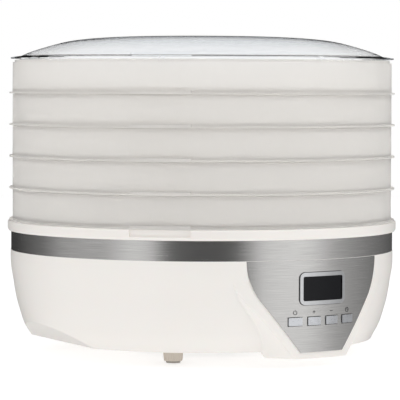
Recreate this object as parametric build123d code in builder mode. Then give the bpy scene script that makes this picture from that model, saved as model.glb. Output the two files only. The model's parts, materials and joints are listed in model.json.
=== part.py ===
"""Five-tray round food dehydrator: base with fan and heater, stacking trays and a clear lid.

Millimetres. +Z is up, the control panel faces -Y, and the origin is on the floor under the middle.
"""

from build123d import *

import math
import os

# Stack of trays
TRAY_COUNT = 5
TRAY_PITCH = 27.5
TRAY_BASE_Z = 116.0
FLANGE_R = 168.5
FLANGE_T = 1.3
WALL_R = 165.6
WALL_TOP = 27.1
LIP_TOP = 29.1
LIP_INNER_R = 161.9
SKIRT_OUTER_R = 161.3
SKIRT_INNER_R = 158.5
SKIRT_DEPTH = 1.5
GROOVE_R = 164.4
GROOVE_H = 2.2
GRID_R = 163.6
GRID_T = 2.2
GRID_HUB_R = 14.0
GRID_RINGS = 9
GRID_SPOKES = 16
RIB_W = 2.0

# Grip tabs on the trays and the lid, in the two directions where the stack is gripped
TAB_ANGLES = (-138.6, 41.4)
TAB_HALF_ANGLE = 8.7
TAB_R = 169.5
TAB_H = 3.2

# Lid
LID_Z = TRAY_BASE_Z + (TRAY_COUNT - 1) * TRAY_PITCH + LIP_TOP + 0.2
LID_BRIM_R = 167.3
LID_LUG_TOP = LID_Z + 1.7
LID_T = 2.0
LID_DOME = ((45.0, 275.8), (97.3, 273.8), (119.6, 270.8), (137.2, 266.1), (157.0, 259.0))
LUG_ANGLES = (0, 49, 90, 131, 180, 229, 270, 311)
LUG_HALF_ANGLE = 0.78

# Base housing
FLOOR_Z = 13.7
FLOOR_T = 2.5
WALL_T = 2.5
LEDGE_TOP = FLOOR_Z + 2 * FLOOR_T
LEDGE_R = 118.0
COVER_R = 127.5
HOUSING_R = 167.4
BAND_SEAT_R = 165.6
BAND_Z = 90.2
BAND_TOP = 107.1
BAND_R = 167.0
RIM_TOP = 115.8
RIM_R = 170.0
SEAT_R = 162.0
OUTLET_R = 60.0
SCOOP_ANGLES = (-189.9, 9.9)
SCOOP_DEPTH_R = 133.2
SCOOP_TOP = (157.8, 31.0)
RECESS_DEPTH = 1.6

# Console and control panel, facing -Y
CONSOLE_R = 166.6
CONSOLE_MARGIN = 3.5
CONSOLE_DROP = 5.2
CONSOLE_FLARE = 24.0
CONSOLE_CORNER_R = 9.0
CONSOLE_INNER_R = 164.1
CONSOLE_BACK_R = 147.0
PANEL_TOP = 90.0
PANEL_BOTTOM = 13.9
PANEL_T = 0.8
PANEL_FRONT = 168.5
PANEL_TOP_HALF = 68.5
PANEL_SHOULDER = (56.3, 56.0)
PANEL_BOTTOM_HALF = 22.1
DISPLAY_Z = 66.5
BEZEL_W = 47.6
BEZEL_H = 26.8
SCREEN_W = 41.7
SCREEN_H = 20.2
COLLAR_W = 44.2
COLLAR_H = 22.8
BUTTON_W = 12.8
BUTTON_H = 6.7
BUTTON_Z = 39.7
BUTTON_XS = (-27.7, -9.3, 9.3, 27.7)
BUTTON_NAMES = ("power_button", "plus_button", "minus_button", "set_button")
BUTTON_GAP = 0.5
BUTTON_FACE_R = 168.3
BUTTON_FLANGE_Y = -158.6
BOARD_FRONT_Y = -150.6
BOARD_T = 1.6
POST_SPOTS = ((-31.5, 53.0), (31.5, 53.0), (-31.5, 81.0), (31.5, 81.0))
SCREW_R = 1.25

# Feet
FOOT_ANGLES = (-140.7, -39.3, 60.0, 120.0)
FOOT_CIRCLE_R = 99.0
PAD_H = 1.8
PAD_R = 6.2
PLUG_R = 2.5

# Fan, motor and heater, all on the Z axis
DUCT_R = 57.0
DUCT_T = 2.6
DUCT_Z = 45.0
DUCT_TOP = 100.0
SPIDER_Z = 52.0
SPIDER_T = 2.0
MOTOR_R = 27.0
MOTOR_Z = 24.0
SHAFT_R = 2.5
SHAFT_FIT = 0.05
BUSH_R = 6.0
BUSH_H = 6.0
ROTOR_R = 14.0
IMPELLER_Z = 60.0
IMPELLER_H = 15.0
IMPELLER_R = 54.0
HUB_R = 16.0
BLADES = 7
HEATER_Z = 84.0
HEATER_H = 12.0
COIL_RINGS = (20.0, 32.0, 44.0)
COIL_WIRE_R = 1.4

# Electronics on the bottom cover
POWER_BOARD_Z = 30.0
POWER_BOARD_Y = 88.0
COVER_SCREW_R = 122.8
GLAND_Z = 50.0
GLAND_FACE_Y = 164.5
GLAND_R = 5.0
GLAND_BORE_R = 3.4

INWARD = Plane(origin=(0, -PANEL_FRONT, 0), x_dir=(-1, 0, 0), z_dir=(0, 1, 0))


def spin(points, mode=Mode.ADD):
    """Turn a closed outline of (radius, height) points about the Z axis into the part being built."""
    with BuildSketch(Plane.XZ) as profile:
        with BuildLine():
            Polyline(*points, close=True)
        make_face()
    revolve(profile.sketch, axis=Axis.Z, mode=mode)


def annulus(inner_r, outer_r, z_low, z_high):
    """A plain ring about the Z axis."""
    with BuildPart() as ring:
        with BuildSketch(Plane.XY.offset(z_low)):
            Circle(outer_r)
            Circle(inner_r, mode=Mode.SUBTRACT)
        extrude(amount=z_high - z_low)
    return ring.part


def sector(inner_r, outer_r, z_low, z_high, angle, half_angle):
    """A piece of a ring centred on an angle."""
    reach = 2 * outer_r
    with BuildPart() as piece:
        with BuildSketch(Plane.XY.offset(z_low).rotated((0, 0, angle))):
            Circle(outer_r)
            Circle(inner_r, mode=Mode.SUBTRACT)
            with BuildLine():
                rise = reach * math.tan(math.radians(half_angle))
                Polyline((0, 0), (reach, -rise), (reach, rise), close=True)
            make_face(mode=Mode.INTERSECT)
        extrude(amount=z_high - z_low)
    return piece.part


def panel_outline(margin, bottom, top, flare=0.0, corner_r=0.0):
    """The shield outline of the panel, grown by a margin and pushed inward from in front of the base."""
    half_top = PANEL_TOP_HALF + margin
    half_bottom = PANEL_BOTTOM_HALF + margin
    shoulder = (PANEL_SHOULDER[0] + margin, PANEL_SHOULDER[1])
    slope = (shoulder[0] - half_bottom, shoulder[1] - bottom)
    with BuildPart() as shield:
        with BuildSketch(INWARD) as outline:
            with BuildLine():
                Line((0, bottom), (half_bottom, bottom))
                Line((half_bottom, bottom), shoulder)
                TangentArc(shoulder, (half_top, top), tangent=slope)
                Line((half_top, top), (0, top))
                mirror(about=Plane.YZ)
            make_face()
            if corner_r > 0:
                fillet(outline.vertices().group_by(Axis.Y)[0], radius=corner_r)
        extrude(amount=28, taper=-flare)
    return shield.part


def front_block(width, height, z_mid, y_front, y_back, radius=0.0):
    """A block facing the panel, centred at x = 0."""
    with BuildPart() as block:
        with BuildSketch(Plane.XZ.offset(-y_back)):
            with Locations((0, z_mid)):
                if radius > 0:
                    RectangleRounded(width, height, radius)
                else:
                    Rectangle(width, height)
        extrude(amount=y_back - y_front)
    return block.part


def bowl_outline(inset):
    """Radius and height points up the bowl's outer wall, moved in by a wall thickness."""
    points = ((149.2, FLOOR_Z), (155.0, 24.7), (159.1, 36.1), (162.4, 48.3), (165.6, 67.1))
    return [(r - inset, z) for r, z in points] + [(HOUSING_R - inset, 84.0)]


def scoop_wedge(angle, inset):
    """A tilted cut at the foot of the bowl that leaves a flat finger facet."""
    plane = Plane.XZ.rotated((0, 0, angle))
    with BuildPart() as wedge:
        with BuildSketch(plane):
            with BuildLine():
                Polyline(
                    (SCOOP_DEPTH_R - inset, FLOOR_Z - 1), (SCOOP_DEPTH_R - inset, FLOOR_Z),
                    (SCOOP_TOP[0] - inset, SCOOP_TOP[1]), (190, SCOOP_TOP[1] + 19), (190, FLOOR_Z - 1),
                    close=True,
                )
            make_face()
        extrude(amount=90, both=True)
    return wedge.part


def make_base_housing():
    with BuildPart() as cavity:
        low_r = bowl_outline(WALL_T)[1][0]
        wall = bowl_outline(WALL_T)[2:]
        spin([(0, LEDGE_TOP), (low_r - 3, LEDGE_TOP), (low_r, 26.0), *wall,
              (BAND_SEAT_R - WALL_T, 88.0), (BAND_SEAT_R - WALL_T, BAND_TOP + 1), (0, BAND_TOP + 1)])
        for angle in SCOOP_ANGLES:
            add(scoop_wedge(angle, WALL_T), mode=Mode.SUBTRACT)
    console_low = PANEL_BOTTOM - CONSOLE_DROP
    console_shell = annulus(CONSOLE_BACK_R, CONSOLE_R, console_low, PANEL_TOP)
    core_shell = annulus(CONSOLE_BACK_R + WALL_T, CONSOLE_INNER_R, console_low + WALL_T, PANEL_TOP)
    console = panel_outline(CONSOLE_MARGIN, console_low, PANEL_TOP, CONSOLE_FLARE, CONSOLE_CORNER_R)
    console_core = panel_outline(CONSOLE_MARGIN - WALL_T, console_low + WALL_T, 86.0, CONSOLE_FLARE,
                                 CONSOLE_CORNER_R - WALL_T)
    pocket = panel_outline(0.3, PANEL_BOTTOM - 0.3, PANEL_TOP)
    pocket_shell = annulus(CONSOLE_R, 180, 5, PANEL_TOP)
    scoops = [scoop_wedge(angle, 0) for angle in SCOOP_ANGLES]
    with BuildPart() as console_out:
        add(console)
        add(console_shell, mode=Mode.INTERSECT)
    with BuildPart() as console_in:
        add(console_core)
        add(core_shell, mode=Mode.INTERSECT)
    with BuildPart() as panel_pocket:
        add(pocket)
        add(pocket_shell, mode=Mode.INTERSECT)
    display_hole = front_block(COLLAR_W + 0.4, COLLAR_H + 0.4, DISPLAY_Z, -172, -158)
    with BuildPart() as base_housing:
        with BuildSketch(Plane.XZ):
            with BuildLine():
                bowl = bowl_outline(0)
                Spline(*bowl, tangents=((0.4, 1), (0, 1)))
                Polyline(bowl[-1], (HOUSING_R, BAND_Z), (BAND_SEAT_R, BAND_Z), (BAND_SEAT_R, BAND_TOP),
                         (0, BAND_TOP), (0, FLOOR_Z), bowl[0])
            make_face()
        revolve(axis=Axis.Z)
        for scoop in scoops:
            add(scoop, mode=Mode.SUBTRACT)
        add(console_out.part)
        add(cavity.part, mode=Mode.SUBTRACT)
        add(console_in.part, mode=Mode.SUBTRACT)
        add(panel_pocket.part, mode=Mode.SUBTRACT)
        with BuildSketch(Plane.XY.offset(FLOOR_Z)):
            Circle(LEDGE_R)
        extrude(amount=2 * FLOOR_T, mode=Mode.SUBTRACT)
        with BuildSketch(Plane.XY.offset(FLOOR_Z)):
            Circle(COVER_R + 0.3)
        extrude(amount=FLOOR_T, mode=Mode.SUBTRACT)
        with BuildSketch(Plane.XY.offset(FLOOR_Z + FLOOR_T)):
            with PolarLocations(COVER_SCREW_R, 4, start_angle=45):
                Circle(4.4)
        extrude(amount=13)
        with BuildSketch(Plane.XY.offset(FLOOR_Z + FLOOR_T)):
            with PolarLocations(COVER_SCREW_R, 4, start_angle=45):
                Circle(1.75)
        extrude(amount=9, mode=Mode.SUBTRACT)
        with BuildSketch(Plane.XZ.offset(-BOARD_FRONT_Y)):
            with Locations(*POST_SPOTS):
                Circle(3.0)
        extrude(amount=12)
        with BuildSketch(Plane.XZ.offset(-BOARD_FRONT_Y)):
            with Locations(*POST_SPOTS):
                Circle(SCREW_R)
        extrude(amount=6, mode=Mode.SUBTRACT)
        add(display_hole, mode=Mode.SUBTRACT)
        with BuildSketch(Plane.XZ.offset(-BUTTON_FLANGE_Y)):
            with Locations(*[(x, BUTTON_Z) for x in BUTTON_XS]):
                Rectangle(BUTTON_W + 2 * BUTTON_GAP, BUTTON_H + 2 * BUTTON_GAP)
        extrude(amount=14, mode=Mode.SUBTRACT)
        with BuildSketch(Plane.XZ.offset(-GLAND_FACE_Y)):
            with Locations((0, GLAND_Z)):
                Circle(10)
        extrude(amount=6)
        with BuildSketch(Plane.XZ.offset(-GLAND_FACE_Y)):
            with Locations((0, GLAND_Z)):
                Circle(GLAND_R + 0.1)
        extrude(amount=12, mode=Mode.SUBTRACT)
    base_housing.part.label = "base_housing"
    export_step(base_housing.part, "parts/base_housing.step")


def make_base_deck():
    recesses = [
        sector(RIM_R - RECESS_DEPTH, RIM_R + 5, 110.0, RIM_TOP + 1, angle, TAB_HALF_ANGLE)
        for angle in TAB_ANGLES
    ]
    with BuildPart() as base_deck:
        spin([(OUTLET_R, 113), (OUTLET_R, DUCT_TOP), (OUTLET_R + 2.2, DUCT_TOP), (OUTLET_R + 2.2, 102),
              (160, 105.6), (162.6, 105.6), (162.6, BAND_TOP), (169, BAND_TOP), (RIM_R, 109.0),
              (RIM_R, RIM_TOP - 0.8), (RIM_R - 0.8, RIM_TOP), (SEAT_R, RIM_TOP), (SEAT_R, 109.4),
              (160, 107.8), (OUTLET_R + 2.2, 104.2), (OUTLET_R + 2.2, 113)])
        for recess in recesses:
            add(recess, mode=Mode.SUBTRACT)
    base_deck.part.label = "base_deck"
    export_step(base_deck.part, "parts/base_deck.step")


def make_outlet_grille():
    with BuildPart() as outlet_grille:
        with BuildSketch(Plane.XY.offset(113)):
            Circle(OUTLET_R + 2.2)
            for radius in range(54, 12, -8):
                Circle(radius, mode=Mode.SUBTRACT)
                Circle(radius - 4)
            with PolarLocations(29, 6):
                Rectangle(56, 3)
        extrude(amount=2)
    outlet_grille.part.label = "outlet_grille"
    export_step(outlet_grille.part, "parts/outlet_grille.step")


def make_trim_band():
    with BuildPart() as trim_band:
        spin([(BAND_SEAT_R, BAND_Z), (BAND_R, BAND_Z), (BAND_R, BAND_TOP - 0.2), (BAND_SEAT_R, BAND_TOP - 0.2)])
    trim_band.part.label = "trim_band"
    export_step(trim_band.part, "parts/trim_band.step")


def make_control_fascia():
    shield = panel_outline(0, PANEL_BOTTOM, PANEL_TOP - 0.1)
    sheet = annulus(CONSOLE_R, CONSOLE_R + PANEL_T, 5, PANEL_TOP)
    display_hole = front_block(COLLAR_W + 0.4, COLLAR_H + 0.4, DISPLAY_Z, -172, -158)
    with BuildPart() as control_fascia:
        add(shield)
        add(sheet, mode=Mode.INTERSECT)
        add(display_hole, mode=Mode.SUBTRACT)
        with BuildSketch(Plane.XZ.offset(-BUTTON_FLANGE_Y)):
            with Locations(*[(x, BUTTON_Z) for x in BUTTON_XS]):
                Rectangle(BUTTON_W + 2 * BUTTON_GAP, BUTTON_H + 2 * BUTTON_GAP)
        extrude(amount=14, mode=Mode.SUBTRACT)
    control_fascia.part.label = "control_fascia"
    export_step(control_fascia.part, "parts/control_fascia.step")


def make_display():
    face = front_block(BEZEL_W, BEZEL_H, DISPLAY_Z, -172, -158, 5)
    face_shell = annulus(CONSOLE_R + PANEL_T, CONSOLE_R + PANEL_T + 1.3, 40, 95)
    collar = front_block(COLLAR_W, COLLAR_H, DISPLAY_Z, -172, -158, 3)
    collar_shell = annulus(162.4, CONSOLE_R + PANEL_T, 40, 95)
    window = front_block(SCREEN_W - 0.3, SCREEN_H - 0.3, DISPLAY_Z, -172, -158, 1.2)
    window_shell = annulus(165.8, CONSOLE_R + PANEL_T + 0.4, 40, 95)
    opening = front_block(SCREEN_W, SCREEN_H, DISPLAY_Z, -172, -158, 1.5)
    with BuildPart() as collar_patch:
        add(collar)
        add(collar_shell, mode=Mode.INTERSECT)
    with BuildPart() as display_bezel:
        add(face)
        add(face_shell, mode=Mode.INTERSECT)
        add(collar_patch.part)
        add(opening, mode=Mode.SUBTRACT)
    display_bezel.part.label = "display_bezel"
    export_step(display_bezel.part, "parts/display_bezel.step")
    with BuildPart() as display_window:
        add(window)
        add(window_shell, mode=Mode.INTERSECT)
    display_window.part.label = "display_window"
    export_step(display_window.part, "parts/display_window.step")
    with BuildPart() as lcd_module:
        add(front_block(SCREEN_W - 2, SCREEN_H - 1.5, DISPLAY_Z, -162.5, BOARD_FRONT_Y))
    lcd_module.part.label = "lcd_module"
    export_step(lcd_module.part, "parts/lcd_module.step")


def make_button(name, x):
    face_limit = annulus(100, BUTTON_FACE_R, BUTTON_Z - 10, BUTTON_Z + 10)
    with BuildPart() as button:
        with BuildSketch(Plane.XZ.offset(-BUTTON_FLANGE_Y)):
            with Locations((x, BUTTON_Z)):
                RectangleRounded(BUTTON_W, BUTTON_H, 0.8)
        extrude(amount=14)
        add(face_limit, mode=Mode.INTERSECT)
        with BuildSketch(Plane.XZ.offset(-BUTTON_FLANGE_Y)):
            with Locations((x, BUTTON_Z)):
                Rectangle(BUTTON_W + 2.6, BUTTON_H + 2.6)
        extrude(amount=-1.2)
        with BuildSketch(Plane.XZ.offset(-BUTTON_FLANGE_Y - 1.2)):
            with Locations((x, BUTTON_Z)):
                Circle(1.8)
        extrude(amount=-1.9)
    button.part.label = name
    export_step(button.part, "parts/" + name + ".step")


def make_control_board():
    with BuildPart() as control_board:
        with BuildSketch(Plane.XZ.offset(-BOARD_FRONT_Y)):
            with Locations((0, 59)):
                Rectangle(72, 52)
            with Locations(*POST_SPOTS):
                Circle(SCREW_R, mode=Mode.SUBTRACT)
        extrude(amount=-BOARD_T)
    control_board.part.label = "control_board"
    export_step(control_board.part, "parts/control_board.step")
    with BuildPart() as tact_switches:
        with BuildSketch(Plane.XZ.offset(-BOARD_FRONT_Y)):
            with Locations(*[(x, BUTTON_Z) for x in BUTTON_XS]):
                Rectangle(6, 6)
        extrude(amount=3)
        with BuildSketch(Plane.XZ.offset(-BOARD_FRONT_Y + 3)):
            with Locations(*[(x, BUTTON_Z) for x in BUTTON_XS]):
                Circle(1.7)
        extrude(amount=1)
    tact_switches.part.label = "tact_switches"
    export_step(tact_switches.part, "parts/tact_switches.step")
    with BuildPart() as board_screws:
        with BuildSketch(Plane.XZ.offset(-BOARD_FRONT_Y - BOARD_T)):
            with Locations(*POST_SPOTS):
                Circle(2.5)
        extrude(amount=-2)
        with BuildSketch(Plane.XZ.offset(-BOARD_FRONT_Y - BOARD_T)):
            with Locations(*POST_SPOTS):
                Circle(SCREW_R)
        extrude(amount=BOARD_T + 5)
    board_screws.part.label = "board_screws"
    export_step(board_screws.part, "parts/board_screws.step")


def make_bottom_cover():
    with BuildPart() as bottom_cover:
        with BuildSketch(Plane.XY.offset(FLOOR_Z)):
            Circle(COVER_R)
            with PolarLocations(38, 20):
                SlotOverall(34, 4, mode=Mode.SUBTRACT)
            with PolarLocations(COVER_SCREW_R, 4, start_angle=45):
                Circle(1.75, mode=Mode.SUBTRACT)
        extrude(amount=FLOOR_T)
    bottom_cover.part.label = "bottom_cover"
    export_step(bottom_cover.part, "parts/bottom_cover.step")
    with BuildPart() as cover_screws:
        with BuildSketch(Plane.XY.offset(FLOOR_Z)):
            with PolarLocations(COVER_SCREW_R, 4, start_angle=45):
                Circle(3.4)
        extrude(amount=-1.6)
        with BuildSketch(Plane.XY.offset(FLOOR_Z)):
            with PolarLocations(COVER_SCREW_R, 4, start_angle=45):
                Circle(1.75)
        extrude(amount=9)
    cover_screws.part.label = "cover_screws"
    export_step(cover_screws.part, "parts/cover_screws.step")


def make_foot(index, angle):
    turn = math.radians(angle)
    x = FOOT_CIRCLE_R * math.cos(turn)
    y = FOOT_CIRCLE_R * math.sin(turn)
    with BuildPart() as foot:
        with BuildSketch(Plane.XY.offset(PAD_H)):
            with Locations((x, y)):
                Circle(7.4)
        with BuildSketch(Plane.XY.offset(FLOOR_Z)):
            with Locations((x, y)):
                Circle(8.6)
        loft()
        with BuildSketch(Plane.XY.offset(PAD_H)):
            with Locations((x, y)):
                Circle(PLUG_R)
        extrude(amount=5, mode=Mode.SUBTRACT)
    foot.part.label = "foot_" + str(index)
    export_step(foot.part, "parts/foot_" + str(index) + ".step")
    with BuildPart() as foot_pad:
        with BuildSketch(Plane.XY):
            with Locations((x, y)):
                Circle(PAD_R)
        extrude(amount=PAD_H)
        fillet(foot_pad.edges().group_by(Axis.Z)[0], radius=0.8)
        with BuildSketch(Plane.XY.offset(PAD_H)):
            with Locations((x, y)):
                Circle(PLUG_R)
        extrude(amount=4)
    foot_pad.part.label = "foot_pad_" + str(index)
    export_step(foot_pad.part, "parts/foot_pad_" + str(index) + ".step")


def make_cord_gland():
    with BuildPart() as cord_gland:
        with BuildSketch(Plane.XZ.offset(-GLAND_FACE_Y)):
            with Locations((0, GLAND_Z)):
                Circle(7.5)
        extrude(amount=-2.5)
        with BuildSketch(Plane.XZ.offset(-GLAND_FACE_Y)):
            with Locations((0, GLAND_Z)):
                Circle(GLAND_R)
        extrude(amount=11)
        with BuildSketch(Plane.XZ.offset(-GLAND_FACE_Y - 3)):
            with Locations((0, GLAND_Z)):
                Circle(GLAND_BORE_R)
        extrude(amount=20, mode=Mode.SUBTRACT)
    cord_gland.part.label = "cord_gland"
    export_step(cord_gland.part, "parts/cord_gland.step")


def make_power_board():
    with BuildPart() as board_standoffs:
        with BuildSketch(Plane.XY.offset(FLOOR_Z + FLOOR_T)):
            with Locations((0, POWER_BOARD_Y)):
                with GridLocations(64, 36, 2, 2):
                    Circle(3.2)
        extrude(amount=POWER_BOARD_Z - FLOOR_Z - FLOOR_T)
        with BuildSketch(Plane.XY.offset(POWER_BOARD_Z)):
            with Locations((0, POWER_BOARD_Y)):
                with GridLocations(64, 36, 2, 2):
                    Circle(SCREW_R)
        extrude(amount=-6, mode=Mode.SUBTRACT)
    board_standoffs.part.label = "board_standoffs"
    export_step(board_standoffs.part, "parts/board_standoffs.step")
    with BuildPart() as power_board:
        with BuildSketch(Plane.XY.offset(POWER_BOARD_Z)):
            with Locations((0, POWER_BOARD_Y)):
                Rectangle(74, 46)
                with GridLocations(64, 36, 2, 2):
                    Circle(SCREW_R, mode=Mode.SUBTRACT)
        extrude(amount=BOARD_T)
    power_board.part.label = "power_board"
    export_step(power_board.part, "parts/power_board.step")
    top = POWER_BOARD_Z + BOARD_T
    with BuildPart() as power_board_screws:
        with BuildSketch(Plane.XY.offset(top)):
            with Locations((0, POWER_BOARD_Y)):
                with GridLocations(64, 36, 2, 2):
                    Circle(2.5)
        extrude(amount=2)
        with BuildSketch(Plane.XY.offset(top)):
            with Locations((0, POWER_BOARD_Y)):
                with GridLocations(64, 36, 2, 2):
                    Circle(SCREW_R)
        extrude(amount=-BOARD_T - 5)
    power_board_screws.part.label = "power_board_screws"
    export_step(power_board_screws.part, "parts/power_board_screws.step")
    with BuildPart() as relay:
        with BuildSketch(Plane.XY.offset(top)):
            with Locations((-15, POWER_BOARD_Y)):
                Rectangle(19, 15)
        extrude(amount=15)
    relay.part.label = "relay"
    export_step(relay.part, "parts/relay.step")
    with BuildPart() as capacitor:
        with BuildSketch(Plane.XY.offset(top)):
            with Locations((14, POWER_BOARD_Y)):
                Rectangle(18, 9)
        extrude(amount=14)
        fillet(capacitor.edges().group_by(Axis.Z)[-1], radius=1)
    capacitor.part.label = "capacitor"
    export_step(capacitor.part, "parts/capacitor.step")


def make_fan_duct():
    with BuildPart() as fan_duct:
        spin([(DUCT_R, DUCT_Z), (DUCT_R + DUCT_T, DUCT_Z), (DUCT_R + DUCT_T, 97.8), (66, 97.8), (66, DUCT_TOP),
              (DUCT_R, DUCT_TOP), (DUCT_R, SPIDER_Z), (50, SPIDER_Z), (50, SPIDER_Z - 2), (DUCT_R, SPIDER_Z - 2)])
        with BuildSketch(Plane.XY.offset(FLOOR_Z + FLOOR_T)):
            with PolarLocations(62.5, 4, start_angle=45):
                Rectangle(6, 8)
        extrude(amount=97.8 - FLOOR_Z - FLOOR_T)
        with BuildSketch(Plane.XY.offset(SPIDER_Z - 2)):
            with PolarLocations(53.2, 3, start_angle=90):
                Circle(SCREW_R)
        extrude(amount=2, mode=Mode.SUBTRACT)
    fan_duct.part.label = "fan_duct"
    export_step(fan_duct.part, "parts/fan_duct.step")


def make_motor():
    top = SPIDER_Z
    with BuildPart() as motor_bracket:
        with BuildSketch(Plane.XY.offset(SPIDER_Z)):
            Circle(20)
            with PolarLocations(33, 3, start_angle=90):
                Rectangle(46, 8)
            Circle(BUSH_R + 0.5, mode=Mode.SUBTRACT)
            with PolarLocations(53.2, 3, start_angle=90):
                Circle(SCREW_R, mode=Mode.SUBTRACT)
        extrude(amount=SPIDER_T)
    motor_bracket.part.label = "motor_bracket"
    export_step(motor_bracket.part, "parts/motor_bracket.step")
    with BuildPart() as motor_screws:
        with BuildSketch(Plane.XY.offset(SPIDER_Z + SPIDER_T)):
            with PolarLocations(53.2, 3, start_angle=90):
                Circle(2.4)
        extrude(amount=1.6)
        with BuildSketch(Plane.XY.offset(SPIDER_Z + SPIDER_T)):
            with PolarLocations(53.2, 3, start_angle=90):
                Circle(SCREW_R)
        extrude(amount=-6)
    motor_screws.part.label = "motor_screws"
    export_step(motor_screws.part, "parts/motor_screws.step")
    with BuildPart() as fan_motor:
        spin([(BUSH_R, MOTOR_Z), (MOTOR_R - 2, MOTOR_Z), (MOTOR_R, MOTOR_Z + 2), (MOTOR_R, top - 2),
              (MOTOR_R - 2, top), (BUSH_R, top), (BUSH_R, top - BUSH_H), (ROTOR_R + 1, top - BUSH_H),
              (ROTOR_R + 1, MOTOR_Z + BUSH_H), (BUSH_R, MOTOR_Z + BUSH_H)])
    fan_motor.part.label = "fan_motor"
    export_step(fan_motor.part, "parts/fan_motor.step")
    with BuildPart() as motor_bushes:
        bush_bore = SHAFT_R + SHAFT_FIT
        for low in (MOTOR_Z, top - BUSH_H):
            spin([(bush_bore, low), (BUSH_R, low), (BUSH_R, low + BUSH_H), (bush_bore, low + BUSH_H)])
    motor_bushes.part.label = "motor_bushes"
    export_step(motor_bushes.part, "parts/motor_bushes.step")
    with BuildPart() as motor_shaft:
        with BuildSketch(Plane.XY.offset(MOTOR_Z - 2)):
            Circle(SHAFT_R)
        extrude(amount=IMPELLER_Z + IMPELLER_H + 3 - MOTOR_Z + 2)
    motor_shaft.part.label = "motor_shaft"
    export_step(motor_shaft.part, "parts/motor_shaft.step")
    with BuildPart() as rotor_core:
        low = MOTOR_Z + BUSH_H + 0.6
        high = top - BUSH_H - 0.6
        spin([(SHAFT_R, low), (ROTOR_R, low), (ROTOR_R, high), (SHAFT_R, high)])
    rotor_core.part.label = "rotor_core"
    export_step(rotor_core.part, "parts/rotor_core.step")


def make_impeller():
    top = IMPELLER_Z + IMPELLER_H
    shell = annulus(HUB_R - 1, IMPELLER_R, IMPELLER_Z, top)
    with BuildPart() as blades:
        for index in range(BLADES):
            blade_plane = Plane.YZ.offset(HUB_R - 2).rotated((0, 0, index * 360 / BLADES))
            with BuildSketch(blade_plane):
                with Locations((0, IMPELLER_Z + IMPELLER_H / 2)):
                    Rectangle(24, 1.8, rotation=28)
            extrude(amount=IMPELLER_R)
        add(shell, mode=Mode.INTERSECT)
    with BuildPart() as fan_impeller:
        spin([(SHAFT_R, IMPELLER_Z), (HUB_R, IMPELLER_Z), (HUB_R, top - 2), (HUB_R - 2, top), (SHAFT_R, top)])
        add(blades.part)
    fan_impeller.part.label = "fan_impeller"
    export_step(fan_impeller.part, "parts/fan_impeller.step")
    with BuildPart() as impeller_nut:
        with BuildSketch(Plane.XY.offset(top)):
            RegularPolygon(4.6, 6)
            Circle(SHAFT_R, mode=Mode.SUBTRACT)
        extrude(amount=3)
    impeller_nut.part.label = "impeller_nut"
    export_step(impeller_nut.part, "parts/impeller_nut.step")


def make_heater():
    mid = HEATER_Z + HEATER_H / 2
    with BuildPart() as heater_coils:
        for ring_r in COIL_RINGS:
            with Locations((0, 0, mid)):
                Torus(ring_r, COIL_WIRE_R)
    heater_coils.part.label = "heater_coils"
    export_step(heater_coils.part, "parts/heater_coils.step")
    with BuildPart() as heater_frame:
        with BuildSketch(Plane.XY.offset(HEATER_Z)):
            Rectangle(2 * DUCT_R - 1, 1.2)
            Rectangle(1.2, 2 * DUCT_R - 1)
        extrude(amount=HEATER_H)
        for ring_r in COIL_RINGS:
            with Locations((0, 0, mid)):
                Torus(ring_r, COIL_WIRE_R, mode=Mode.SUBTRACT)
    heater_frame.part.label = "heater_frame"
    export_step(heater_frame.part, "parts/heater_frame.step")
    with BuildPart() as thermostat:
        with BuildSketch(Plane.XY.offset(HEATER_Z + HEATER_H)):
            Circle(8)
        extrude(amount=5)
        fillet(thermostat.edges().group_by(Axis.Z)[-1], radius=1)
    thermostat.part.label = "thermostat"
    export_step(thermostat.part, "parts/thermostat.step")
    with BuildPart() as thermal_fuse:
        with BuildSketch(Plane.XY.offset(HEATER_Z + HEATER_H)):
            with Locations((34, 0)):
                SlotOverall(16, 4)
        extrude(amount=4)
    thermal_fuse.part.label = "thermal_fuse"
    export_step(thermal_fuse.part, "parts/thermal_fuse.step")


def tray_bottom(number):
    """Trays are numbered from the top, so the last one stands on the base."""
    return TRAY_BASE_Z + (TRAY_COUNT - number) * TRAY_PITCH


def make_tray(number):
    z = tray_bottom(number)
    tabs = [sector(SEAT_R + 3, TAB_R, z, z + TAB_H, angle, TAB_HALF_ANGLE) for angle in TAB_ANGLES]
    with BuildPart() as tray:
        ledge = z + GROOVE_H + FLANGE_T
        spin([(SKIRT_INNER_R, z - SKIRT_DEPTH), (SKIRT_OUTER_R, z - SKIRT_DEPTH), (SKIRT_OUTER_R, z + GROOVE_H),
              (GROOVE_R, z + GROOVE_H), (GROOVE_R, z), (FLANGE_R, z), (FLANGE_R, z + FLANGE_T),
              (WALL_R + 0.2, z + FLANGE_T), (WALL_R, z + WALL_TOP - 0.2), (WALL_R - 0.3, z + WALL_TOP),
              (163.8, z + WALL_TOP), (163.8, z + LIP_TOP),
              (LIP_INNER_R, z + LIP_TOP), (LIP_INNER_R, z + 26.2), (163.7, z + 23.8), (163.9, ledge),
              (SKIRT_INNER_R, ledge)])
        for tab in tabs:
            add(tab)
    name = "tray_" + str(number)
    tray.part.label = name
    export_step(tray.part, "parts/" + name + ".step")


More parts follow.
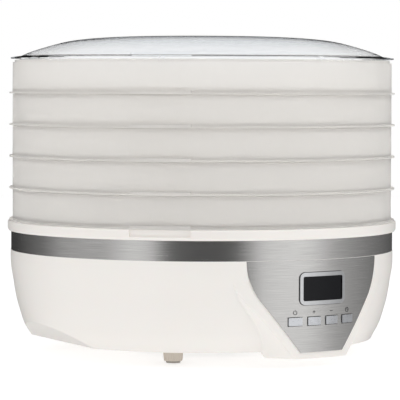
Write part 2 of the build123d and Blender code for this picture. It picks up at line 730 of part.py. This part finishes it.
def make_tray_grid(number):
    z = tray_bottom(number) + GROOVE_H + FLANGE_T
    ring_step = (SKIRT_INNER_R - GRID_HUB_R) / GRID_RINGS
    spoke = SKIRT_INNER_R - GRID_HUB_R
    with BuildPart() as grid:
        with BuildSketch(Plane.XY.offset(z)):
            Circle(GRID_R)
            Circle(SKIRT_INNER_R, mode=Mode.SUBTRACT)
            for ring in range(GRID_RINGS - 1, -1, -1):
                radius = GRID_HUB_R + ring * ring_step
                with BuildSketch(mode=Mode.PRIVATE) as rib:
                    Circle(radius + RIB_W)
                    Circle(radius, mode=Mode.SUBTRACT)
                add(rib.sketch)
            with PolarLocations(GRID_HUB_R + 1 + spoke / 2, GRID_SPOKES):
                Rectangle(spoke + 1, RIB_W)
        extrude(amount=GRID_T)
    name = "tray_" + str(number) + "_grid"
    grid.part.label = name
    export_step(grid.part, "parts/" + name + ".step")


def make_lid():
    lugs = [
        sector(SKIRT_INNER_R, 165, LID_Z, LID_LUG_TOP + 0.4, TAB_ANGLES[0] + a, LUG_HALF_ANGLE)
        for a in LUG_ANGLES
    ]
    pegs = [
        sector(SKIRT_INNER_R, SKIRT_OUTER_R - 0.2, LID_Z - 3, LID_Z, TAB_ANGLES[0] + a, LUG_HALF_ANGLE)
        for a in LUG_ANGLES
    ]
    tab_floor = LID_LUG_TOP - 0.4
    tab_r = LID_BRIM_R + 1.5
    tabs = [sector(161, tab_r, tab_floor, tab_floor + 1.5, a, TAB_HALF_ANGLE) for a in TAB_ANGLES]
    tab_lips = [sector(165.5, tab_r, tab_floor, tab_floor + TAB_H, a, TAB_HALF_ANGLE) for a in TAB_ANGLES]
    foot_r, foot_z = LID_DOME[-1]
    inner = [(r - 0.4, z - LID_T) for r, z in reversed(LID_DOME[1:-1])]
    with BuildPart() as lid:
        with BuildSketch(Plane.XZ):
            with BuildLine():
                Line((0, LID_DOME[0][1]), LID_DOME[0])
                Spline(*LID_DOME, tangents=((1, 0), (1, -0.52)))
                Polyline((foot_r, foot_z), (foot_r + 1.2, foot_z - 0.5), (LID_BRIM_R, LID_LUG_TOP + 0.3),
                         (LID_BRIM_R, LID_LUG_TOP - 0.7), (foot_r - 1.6, LID_LUG_TOP + 0.2),
                         (foot_r - 3.4, foot_z - 0.8))
                Spline((foot_r - 3.4, foot_z - 0.8), *inner, (LID_DOME[0][0], LID_DOME[0][1] - LID_T),
                       tangents=((-1, 0.45), (-1, 0)))
                Polyline((LID_DOME[0][0], LID_DOME[0][1] - LID_T), (0, LID_DOME[0][1] - LID_T),
                         (0, LID_DOME[0][1]))
            make_face()
        revolve(axis=Axis.Z)
        for piece in tabs + tab_lips + lugs + pegs:
            add(piece)
    lid.part.label = "lid"
    export_step(lid.part, "parts/lid.step")


os.makedirs("parts", exist_ok=True)
make_base_housing()
make_base_deck()
make_outlet_grille()
make_trim_band()
make_control_fascia()
make_display()
for button_name, button_x in zip(BUTTON_NAMES, BUTTON_XS):
    make_button(button_name, button_x)
make_control_board()
make_bottom_cover()
for foot_index, foot_angle in enumerate(FOOT_ANGLES, start=1):
    make_foot(foot_index, foot_angle)
make_cord_gland()
make_power_board()
make_fan_duct()
make_motor()
make_impeller()
make_heater()
for tray_number in range(1, TRAY_COUNT + 1):
    make_tray(tray_number)
    make_tray_grid(tray_number)
make_lid()
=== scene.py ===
"""Looks for the round food dehydrator: studio, camera, materials and the fine detail on the CAD frame."""

import json
import math

import bpy
import bmesh
from mathutils import Euler, Matrix, Vector


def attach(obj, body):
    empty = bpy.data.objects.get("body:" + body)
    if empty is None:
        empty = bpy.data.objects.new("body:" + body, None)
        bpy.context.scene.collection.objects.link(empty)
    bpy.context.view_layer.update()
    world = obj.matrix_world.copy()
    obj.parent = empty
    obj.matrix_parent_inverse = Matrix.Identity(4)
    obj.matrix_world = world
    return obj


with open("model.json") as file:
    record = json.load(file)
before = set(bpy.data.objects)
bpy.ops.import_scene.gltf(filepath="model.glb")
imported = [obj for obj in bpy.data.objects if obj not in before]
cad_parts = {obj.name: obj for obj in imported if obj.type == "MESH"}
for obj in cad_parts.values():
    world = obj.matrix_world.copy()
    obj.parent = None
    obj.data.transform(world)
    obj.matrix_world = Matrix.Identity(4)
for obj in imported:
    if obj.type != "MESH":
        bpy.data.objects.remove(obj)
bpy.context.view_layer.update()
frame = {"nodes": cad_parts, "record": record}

# ---------------------------------------------------------------- camera

CAMERA_AZIMUTH = math.radians(-36.9)
CAMERA_DISTANCE = 2.198
CAMERA_HEIGHT = 0.233
CAMERA_PITCH = math.radians(2.61)
CAMERA_YAW_TRIM = math.radians(0.04)
CAMERA_ROLL = math.radians(0.2)
LENS_MM = 225.4


def make_camera():
    """A long lens a little above the middle of the object, matched to the photograph."""
    data = bpy.data.cameras.new("camera")
    data.lens = LENS_MM
    data.sensor_width = 36
    data.clip_end = 50
    camera = bpy.data.objects.new("camera", data)
    camera.location = (
        math.sin(CAMERA_AZIMUTH) * CAMERA_DISTANCE,
        -math.cos(CAMERA_AZIMUTH) * CAMERA_DISTANCE,
        CAMERA_HEIGHT,
    )
    aim = Euler((math.pi / 2 - CAMERA_PITCH, 0, CAMERA_AZIMUTH + CAMERA_YAW_TRIM)).to_matrix()
    camera.rotation_euler = (aim @ Matrix.Rotation(CAMERA_ROLL, 3, "Z")).to_euler()
    bpy.context.scene.collection.objects.link(camera)
    bpy.context.scene.camera = camera


# ---------------------------------------------------------------- small node helpers


class Shader:
    """One node-based material or world, with short calls for the nodes used here."""

    def __init__(self, tree):
        self.tree = tree
        self.nodes = tree.nodes
        self.links = tree.links
        self.nodes.clear()

    def node(self, kind, **settings):
        node = self.nodes.new(kind)
        for key, value in settings.items():
            if key in node.inputs:
                node.inputs[key].default_value = value
            else:
                setattr(node, key, value)
        return node

    def link(self, source, target):
        self.links.new(source, target)

    def math(self, operation, a, b=None):
        node = self.nodes.new("ShaderNodeMath")
        node.operation = operation
        for socket, value in zip(node.inputs, (a, b)):
            if value is None:
                continue
            if isinstance(value, (int, float)):
                socket.default_value = value
            else:
                self.link(value, socket)
        return node.outputs[0]

    def ramp(self, factor, stops, smooth=False):
        node = self.nodes.new("ShaderNodeValToRGB")
        if smooth:
            node.color_ramp.interpolation = "EASE"
        elements = node.color_ramp.elements
        while len(elements) < len(stops):
            elements.new(0.5)
        for element, (place, value) in zip(elements, stops):
            element.position = place
            colour = value if isinstance(value, tuple) else (value, value, value)
            element.color = (*colour, 1)
        self.link(factor, node.inputs[0])
        return node.outputs[0]

    def noise(self, scale, detail=3.0, vector=None, roughness=0.5):
        node = self.nodes.new("ShaderNodeTexNoise")
        node.inputs["Scale"].default_value = scale
        node.inputs["Detail"].default_value = detail
        node.inputs["Roughness"].default_value = roughness
        if vector is None:
            vector = self.nodes.new("ShaderNodeTexCoord").outputs["Object"]
        self.link(vector, node.inputs["Vector"])
        return node.outputs["Fac"]

    def bump(self, height, strength, distance):
        node = self.nodes.new("ShaderNodeBump")
        node.inputs["Strength"].default_value = strength
        node.inputs["Distance"].default_value = distance
        self.link(height, node.inputs["Height"])
        return node.outputs["Normal"]


def srgb(red, green, blue):
    """A colour given as 0 to 255 screen values, as linear light."""
    shares = [c / 255 for c in (red, green, blue)]
    return tuple(((s + 0.055) / 1.055) ** 2.4 if s > 10 / 255 else s / 12.92 for s in shares)


# ---------------------------------------------------------------- materials

MATERIALS = {}
FROSTED_IOR = 1.22
CLEAR_IOR = 1.06
RIM_RADIUS = 0.17


def principled(name, **values):
    """A new material with one Principled shader, kept in MATERIALS under its slot's name."""
    material = bpy.data.materials.new(name)
    material.use_nodes = True
    shader = Shader(material.node_tree)
    body = shader.node("ShaderNodeBsdfPrincipled")
    for key, value in values.items():
        body.inputs[key.replace("_", " ")].default_value = value
    output = shader.node("ShaderNodeOutputMaterial")
    shader.link(body.outputs[0], output.inputs["Surface"])
    MATERIALS[name] = material
    return shader, body, output


def moulded(name, colour, roughness, variation=0.03, grain=900.0, depth=0.00004, **extra):
    """Moulded plastic or rubber: slow colour drift, fine surface grain and uneven gloss."""
    shader, body, _ = principled(name, **extra)
    drift = shader.noise(9.0, 2.0)
    low = tuple(c * (1 - variation) for c in colour)
    shader.link(shader.ramp(drift, ((0.3, low), (0.7, colour))), body.inputs["Base Color"])
    fine = shader.noise(grain, 2.0)
    gloss = shader.ramp(fine, ((0.3, roughness * 0.88), (0.7, roughness * 1.12)))
    shader.link(gloss, body.inputs["Roughness"])
    shader.link(shader.bump(fine, 0.25, depth), body.inputs["Normal"])


def brushed(name, colour, roughness):
    """Metal brushed along the turn of the base: long fine scratches level with the floor."""
    shader, body, _ = principled(name, Metallic=1.0)
    coordinates = shader.nodes.new("ShaderNodeTexCoord").outputs["Object"]
    split = shader.nodes.new("ShaderNodeSeparateXYZ")
    shader.link(coordinates, split.inputs[0])
    turn = shader.math("ARCTAN2", split.outputs["X"], split.outputs["Y"])
    strokes = shader.nodes.new("ShaderNodeCombineXYZ")
    shader.link(shader.math("MULTIPLY", turn, 0.6), strokes.inputs["X"])
    shader.link(shader.math("MULTIPLY", split.outputs["Z"], 220.0), strokes.inputs["Y"])
    lines = shader.noise(9.0, 5.0, strokes.outputs[0], 0.7)
    dark = tuple(c * 0.72 for c in colour)
    shader.link(shader.ramp(lines, ((0.25, dark), (0.75, colour))), body.inputs["Base Color"])
    gloss = shader.ramp(lines, ((0.2, roughness * 0.85), (0.8, roughness * 1.2)))
    shader.link(gloss, body.inputs["Roughness"])
    shader.link(shader.bump(lines, 0.18, 0.00003), body.inputs["Normal"])


def plain_metal(name, colour, roughness):
    """Smooth metal with a faint grain in its colour and gloss."""
    shader, body, _ = principled(name, Metallic=1.0)
    grain = shader.noise(300.0, 3.0)
    low = tuple(c * 0.93 for c in colour)
    shader.link(shader.ramp(grain, ((0.3, low), (0.7, colour))), body.inputs["Base Color"])
    gloss = shader.ramp(grain, ((0.3, roughness * 0.85), (0.7, roughness * 1.2)))
    shader.link(gloss, body.inputs["Roughness"])
    shader.link(shader.bump(grain, 0.08, 0.00004), body.inputs["Normal"])


def frosted(name, colour, clearness, roughness):
    """Frosted translucent moulding with a faint flow pattern."""
    shader, body, _ = principled(name, Transmission_Weight=clearness, IOR=FROSTED_IOR)
    drift = shader.noise(14.0, 2.0)
    low = tuple(c * 0.99 for c in colour)
    shader.link(shader.ramp(drift, ((0.3, low), (0.7, colour))), body.inputs["Base Color"])
    fine = shader.noise(700.0, 2.0)
    shader.link(shader.ramp(fine, ((0.3, roughness * 0.9), (0.7, roughness * 1.1))), body.inputs["Roughness"])
    shader.link(shader.bump(fine, 0.15, 0.00004), body.inputs["Normal"])


def clear(name, colour, crown_colour, absorbed, density):
    """Clear gloss moulding, its colour darker towards the crown, and a little smoky where the light runs
    along the wall.
    """
    shader, body, output = principled(name, Transmission_Weight=1.0, IOR=CLEAR_IOR)
    split = shader.nodes.new("ShaderNodeSeparateXYZ")
    shader.link(shader.nodes.new("ShaderNodeTexCoord").outputs["Object"], split.inputs[0])
    across = shader.math("POWER", split.outputs["X"], 2.0)
    along = shader.math("POWER", split.outputs["Y"], 2.0)
    radius = shader.math("SQRT", shader.math("ADD", across, along))
    share = shader.math("DIVIDE", radius, RIM_RADIUS)
    # Base colour darker towards the crown, lighter towards the rim.
    shader.link(shader.ramp(share, ((0.60, crown_colour), (0.82, colour)), True), body.inputs["Base Color"])
    wear = shader.noise(60.0, 3.0)
    shader.link(shader.ramp(wear, ((0.35, 0.01), (0.8, 0.04))), body.inputs["Roughness"])
    wave = shader.noise(18.0, 1.0)
    shader.link(shader.bump(wave, 0.05, 0.0001), body.inputs["Normal"])
    volume = shader.node("ShaderNodeVolumeAbsorption", Color=(*absorbed, 1), Density=density)
    shader.link(volume.outputs[0], output.inputs["Volume"])


def make_materials():
    moulded("ivory_plastic", srgb(243, 239, 234), 0.34, 0.02, Subsurface_Weight=0.05,
            Subsurface_Scale=0.004, Coat_Weight=0.15, Coat_Roughness=0.2)
    moulded("grille_plastic", srgb(236, 233, 224), 0.42, 0.02)
    brushed("brushed_steel", (0.80, 0.79, 0.775), 0.24)
    plain_metal("silver_bezel", srgb(228, 229, 231), 0.14)
    moulded("display_glass", srgb(12, 13, 17), 0.10, 0.05, 200.0, 0.000005, IOR=1.33)
    moulded("black_plastic", srgb(38, 38, 40), 0.5)
    moulded("circuit_board", srgb(30, 96, 58), 0.35)
    plain_metal("screw_steel", (0.55, 0.55, 0.56), 0.35)
    plain_metal("silver_button", srgb(226, 228, 232), 0.30)
    moulded("foot_plastic", srgb(217, 208, 197), 0.42)
    moulded("foot_rubber", srgb(168, 163, 156), 0.7)
    moulded("black_rubber", srgb(40, 40, 41), 0.7)
    moulded("relay_plastic", srgb(40, 60, 110), 0.35)
    moulded("capacitor_film", srgb(190, 150, 70), 0.35)
    moulded("duct_plastic", srgb(215, 212, 203), 0.5)
    plain_metal("plated_steel", (0.60, 0.60, 0.57), 0.33)
    moulded("motor_case", srgb(70, 70, 74), 0.45)
    plain_metal("bush_brass", (0.72, 0.55, 0.26), 0.35)
    plain_metal("shaft_steel", (0.65, 0.65, 0.66), 0.2)
    moulded("impeller_plastic", srgb(52, 52, 55), 0.45)
    moulded("heater_mica", srgb(196, 176, 140), 0.6, 0.12)
    plain_metal("heater_wire", (0.38, 0.32, 0.29), 0.5)
    frosted("tray_plastic", srgb(254, 252, 249), 0.6, 0.5)
    clear("lid_clear", (0.965, 0.972, 0.98), (0.80, 0.82, 0.84), (0.52, 0.56, 0.60), 6.0)


def dress_nodes():
    """Gives each CAD node the material of the slot that the record names for it."""
    slots = {s["node"]: s["material_slot"] for s in frame["record"]["subparts"]}
    for name, node in frame["nodes"].items():
        node.data.materials.clear()
        node.data.materials.append(MATERIALS[slots[name]])


# ---------------------------------------------------------------- fine detail on the CAD nodes

MM = 0.001
PANEL_FACE_R = 167.4
ICON_RISE = 0.12
ICON_Z = 47.2
ICON_STROKE = 0.5
ICON_SINK = 0.1
SIGN_HALF = 1.4
POWER_R = 1.7
CLOCK_R = 1.8
OUTLINE_STEP = 1.5
SEAM_W = 47.9
SEAM_H = 27.1
SEAM_Z = 66.5
SEAM_CORNER_R = 5.1
BUTTON_XS = (-27.7, -9.3, 9.3, 27.7)
FOOT_CIRCLE_R = 99.0
FOOT_ANGLES = (-140.7, -39.3, 60.0, 120.0)
FOOT_LOW = (7.4, 1.8)
FOOT_HIGH = (8.6, 13.7)
FOOT_RIBS = 18
RIB_SECTION = ((-0.3, -0.09), (0.4, -0.045), (0.4, 0.045), (-0.3, 0.09))


def add_piece(name, build, body, slot_name):
    """Turns a bmesh into a visible piece that rides on a body and has a material slot."""
    mesh = bpy.data.meshes.new(name)
    bmesh.ops.recalc_face_normals(build, faces=build.faces)
    build.to_mesh(mesh)
    build.free()
    piece = bpy.data.objects.new(name, mesh)
    bpy.context.scene.collection.objects.link(piece)
    mesh.materials.append(MATERIALS[slot_name])
    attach(piece, body)


def stroke(build, path, closed=False):
    """A printed line of constant width along (x, z) points in millimetres on the curved panel."""
    count = len(path)
    rings = []
    section = ((1, -ICON_SINK), (1, ICON_RISE), (-1, ICON_RISE), (-1, -ICON_SINK))
    for index, (x, z) in enumerate(path):
        ahead = path[(index + 1) % count] if closed else path[min(index + 1, count - 1)]
        behind = path[index - 1] if closed or index > 0 else path[0]
        run_x, run_z = ahead[0] - behind[0], ahead[1] - behind[1]
        half = ICON_STROKE / 2 / math.hypot(run_x, run_z)
        ring = []
        for side, rise in section:
            px = x - side * run_z * half
            pz = z + side * run_x * half
            depth = math.sqrt((PANEL_FACE_R + rise) ** 2 - px ** 2)
            ring.append(build.verts.new((px * MM, -depth * MM, pz * MM)))
        rings.append(ring)
    pairs = list(zip(rings, rings[1:]))
    if closed:
        pairs.append((rings[-1], rings[0]))
    for one, two in pairs:
        for corner in range(4):
            after = (corner + 1) % 4
            build.faces.new((one[corner], one[after], two[after], two[corner]))
    if not closed:
        build.faces.new(rings[0])
        build.faces.new(rings[-1])


def arc(x, z, radius, start_deg, end_deg, steps=24):
    """Points on an arc about (x, z), with its angles clockwise from straight up."""
    turns = [math.radians(start_deg + (end_deg - start_deg) * k / steps) for k in range(steps + 1)]
    return [(x + radius * math.sin(t), z + radius * math.cos(t)) for t in turns]


def make_icons():
    """Power, plus, minus and clock marks over the four buttons."""
    power_x, plus_x, minus_x, clock_x = BUTTON_XS
    power = bmesh.new()
    stroke(power, arc(power_x, ICON_Z, POWER_R, 38, 322))
    stroke(power, [(power_x, ICON_Z + 0.4), (power_x, ICON_Z + 2.2)])
    add_piece("icon_power", power, "base", "black_plastic")
    plus = bmesh.new()
    stroke(plus, [(plus_x - SIGN_HALF, ICON_Z), (plus_x - ICON_STROKE / 2, ICON_Z)])
    stroke(plus, [(plus_x + ICON_STROKE / 2, ICON_Z), (plus_x + SIGN_HALF, ICON_Z)])
    stroke(plus, [(plus_x, ICON_Z - SIGN_HALF), (plus_x, ICON_Z + SIGN_HALF)])
    add_piece("icon_plus", plus, "base", "black_plastic")
    minus = bmesh.new()
    stroke(minus, [(minus_x - SIGN_HALF, ICON_Z), (minus_x, ICON_Z), (minus_x + SIGN_HALF, ICON_Z)])
    add_piece("icon_minus", minus, "base", "black_plastic")
    clock = bmesh.new()
    stroke(clock, arc(clock_x, ICON_Z, CLOCK_R, 0, 345, 23), closed=True)
    stroke(clock, [(clock_x, ICON_Z + 1.1), (clock_x, ICON_Z)])
    stroke(clock, [(clock_x + 0.3, ICON_Z - 0.1), (clock_x + 1.0, ICON_Z - 0.5)])
    add_piece("icon_clock", clock, "base", "black_plastic")


def rounded_outline(width, height, z_mid, corner_r, steps=6):
    """Points clockwise round a rectangle with rounded corners, centred at x = 0."""
    corners = []
    for side_x, side_z, start in ((1, 1, 0), (1, -1, 90), (-1, -1, 180), (-1, 1, 270)):
        centre_x = side_x * (width / 2 - corner_r)
        centre_z = z_mid + side_z * (height / 2 - corner_r)
        corners += arc(centre_x, centre_z, corner_r, start, start + 90, steps)
    points = []
    for (x, z), (next_x, next_z) in zip(corners, corners[1:] + corners[:1]):
        parts = max(1, math.ceil(math.hypot(next_x - x, next_z - z) / OUTLINE_STEP))
        points += [(x + (next_x - x) * k / parts, z + (next_z - z) * k / parts) for k in range(parts)]
    return points


def make_display_seam():
    """The dark joint line where the bezel meets the panel."""
    seam = bmesh.new()
    stroke(seam, rounded_outline(SEAM_W, SEAM_H, SEAM_Z, SEAM_CORNER_R), closed=True)
    add_piece("display_seam", seam, "base", "black_plastic")


def make_foot_ribs():
    """Fine upright ribs round each foot, from its (radius, height) at the pad to that at the housing."""
    for number, degrees in enumerate(FOOT_ANGLES, start=1):
        turn = math.radians(degrees)
        centre_x = FOOT_CIRCLE_R * math.cos(turn)
        centre_y = FOOT_CIRCLE_R * math.sin(turn)
        build = bmesh.new()
        for rib in range(FOOT_RIBS):
            angle = 2 * math.pi * rib / FOOT_RIBS
            ends = []
            for radius, height in (FOOT_LOW, FOOT_HIGH):
                section = []
                for reach, spread in RIB_SECTION:
                    at = angle + spread
                    section.append(build.verts.new((
                        (centre_x + (radius + reach) * math.cos(at)) * MM,
                        (centre_y + (radius + reach) * math.sin(at)) * MM,
                        height * MM,
                    )))
                ends.append(section)
            low, high = ends
            for corner in range(4):
                after = (corner + 1) % 4
                build.faces.new((low[corner], low[after], high[after], high[corner]))
            build.faces.new(low)
            build.faces.new(high)
        add_piece("foot_ribs_" + str(number), build, "base", "foot_plastic")


def round_edges(node_name, width, segments=3):
    """A small rounded edge on a CAD node."""
    bevel = frame["nodes"][node_name].modifiers.new("edge", "BEVEL")
    bevel.width = width * MM
    bevel.segments = segments
    bevel.limit_method = "ANGLE"
    bevel.angle_limit = math.radians(40)
    bevel.harden_normals = False


def make_details():
    make_icons()
    make_display_seam()
    make_foot_ribs()
    round_edges("display_bezel", 0.55, 4)
    for button in ("power_button", "plus_button", "minus_button", "set_button"):
        round_edges(button, 0.4)
    round_edges("base_deck", 0.5)


# ---------------------------------------------------------------- studio

FLOOR_RADIUS = 3.0
FLOOR_DROP = 0.0002
FLOOR_GLOW = 0.55
LIGHT_AIM_Z = 0.14
LIGHTS = (
    ("top_light", 10, 1.7, 0.4, (1.4, 1.4), 5),
    ("left_light", -70, 0.9, 1.8, (0.9, 1.3), 3.5),
    ("right_light", 62, 0.8, 1.9, (0.9, 1.3), 3.5),
)
HEIGHT_LIGHT = ((0.0, 0.9), (0.24, 0.5), (0.38, 0.0), (0.62, 0.0), (0.80, 0.6), (1.0, 1.0))
AZIMUTH_LIGHT = (
    (0.00, 0.02), (0.10, 0.05), (0.20, 0.18), (0.25, 0.42), (0.34, 0.46), (0.38, 0.85), (0.42, 0.80),
    (0.44, 0.10), (0.56, 0.08), (0.60, 0.85), (0.68, 0.80), (0.74, 0.44), (0.84, 0.22), (1.00, 0.01),
)


def make_world():
    """White to the camera. To reflections, a dark camera side between two bright sides."""
    world = bpy.data.worlds.new("studio")
    bpy.context.scene.world = world
    world.use_nodes = True
    shader = Shader(world.node_tree)
    direction = shader.nodes.new("ShaderNodeTexCoord").outputs["Generated"]
    split = shader.nodes.new("ShaderNodeSeparateXYZ")
    turn = shader.nodes.new("ShaderNodeVectorRotate")
    turn.rotation_type = "Z_AXIS"
    turn.inputs["Angle"].default_value = -CAMERA_AZIMUTH
    shader.link(direction, turn.inputs["Vector"])
    shader.link(turn.outputs[0], split.inputs[0])
    away = shader.math("MULTIPLY", split.outputs["Y"], -1.0)
    azimuth = shader.math("ARCTAN2", split.outputs["X"], away)
    place = shader.math("ADD", shader.math("DIVIDE", azimuth, 2 * math.pi), 0.5)
    sides = shader.ramp(place, AZIMUTH_LIGHT)
    level = shader.math("ADD", shader.math("MULTIPLY", split.outputs["Z"], 0.5), 0.5)
    height = shader.ramp(level, HEIGHT_LIGHT, True)
    mix = shader.nodes.new("ShaderNodeMix")
    mix.data_type = "RGBA"
    shader.link(height, mix.inputs["Factor"])
    shader.link(sides, mix.inputs["A"])
    mix.inputs["B"].default_value = (1.10, 1.10, 1.11, 1)
    studio = shader.nodes.new("ShaderNodeBackground")
    shader.link(mix.outputs["Result"], studio.inputs["Color"])
    studio.inputs["Strength"].default_value = 1.0
    white = shader.nodes.new("ShaderNodeBackground")
    white.inputs["Color"].default_value = (1, 1, 1, 1)
    choose = shader.nodes.new("ShaderNodeMixShader")
    path = shader.nodes.new("ShaderNodeLightPath")
    seen = shader.math("MAXIMUM", path.outputs["Is Camera Ray"], path.outputs["Is Transmission Ray"])
    shader.link(seen, choose.inputs[0])
    shader.link(studio.outputs[0], choose.inputs[1])
    shader.link(white.outputs[0], choose.inputs[2])
    output = shader.nodes.new("ShaderNodeOutputWorld")
    shader.link(choose.outputs[0], output.inputs["Surface"])


def area_light(name, azimuth_deg, height, distance, size, power):
    """A soft box aimed at the object, its azimuth measured from the camera's."""
    data = bpy.data.lights.new(name, "AREA")
    data.shape = "RECTANGLE"
    data.size, data.size_y = size
    data.energy = power
    light = bpy.data.objects.new(name, data)
    turn = CAMERA_AZIMUTH + math.radians(azimuth_deg)
    light.location = (math.sin(turn) * distance, -math.cos(turn) * distance, height)
    aim = Vector((0, 0, LIGHT_AIM_Z)) - light.location
    light.rotation_euler = aim.to_track_quat("-Z", "Y").to_euler()
    bpy.context.scene.collection.objects.link(light)


def make_studio():
    """A white floor that glows a little, and three soft boxes."""
    mesh = bpy.data.meshes.new("floor")
    build = bmesh.new()
    bmesh.ops.create_circle(build, cap_ends=True, segments=96, radius=FLOOR_RADIUS)
    build.to_mesh(mesh)
    build.free()
    floor = bpy.data.objects.new("floor", mesh)
    bpy.context.scene.collection.objects.link(floor)
    floor.location.z = -FLOOR_DROP
    floor.visible_glossy = False
    _, body, _ = principled("floor", Roughness=0.9, Base_Color=(0.6, 0.6, 0.6, 1))
    body.inputs["Emission Color"].default_value = (1, 1, 1, 1)
    body.inputs["Emission Strength"].default_value = FLOOR_GLOW
    mesh.materials.append(MATERIALS["floor"])
    for settings in LIGHTS:
        area_light(*settings)


make_camera()
make_world()
make_studio()
make_materials()
dress_nodes()
make_details()

bpy.context.scene.view_settings.view_transform = "Standard"
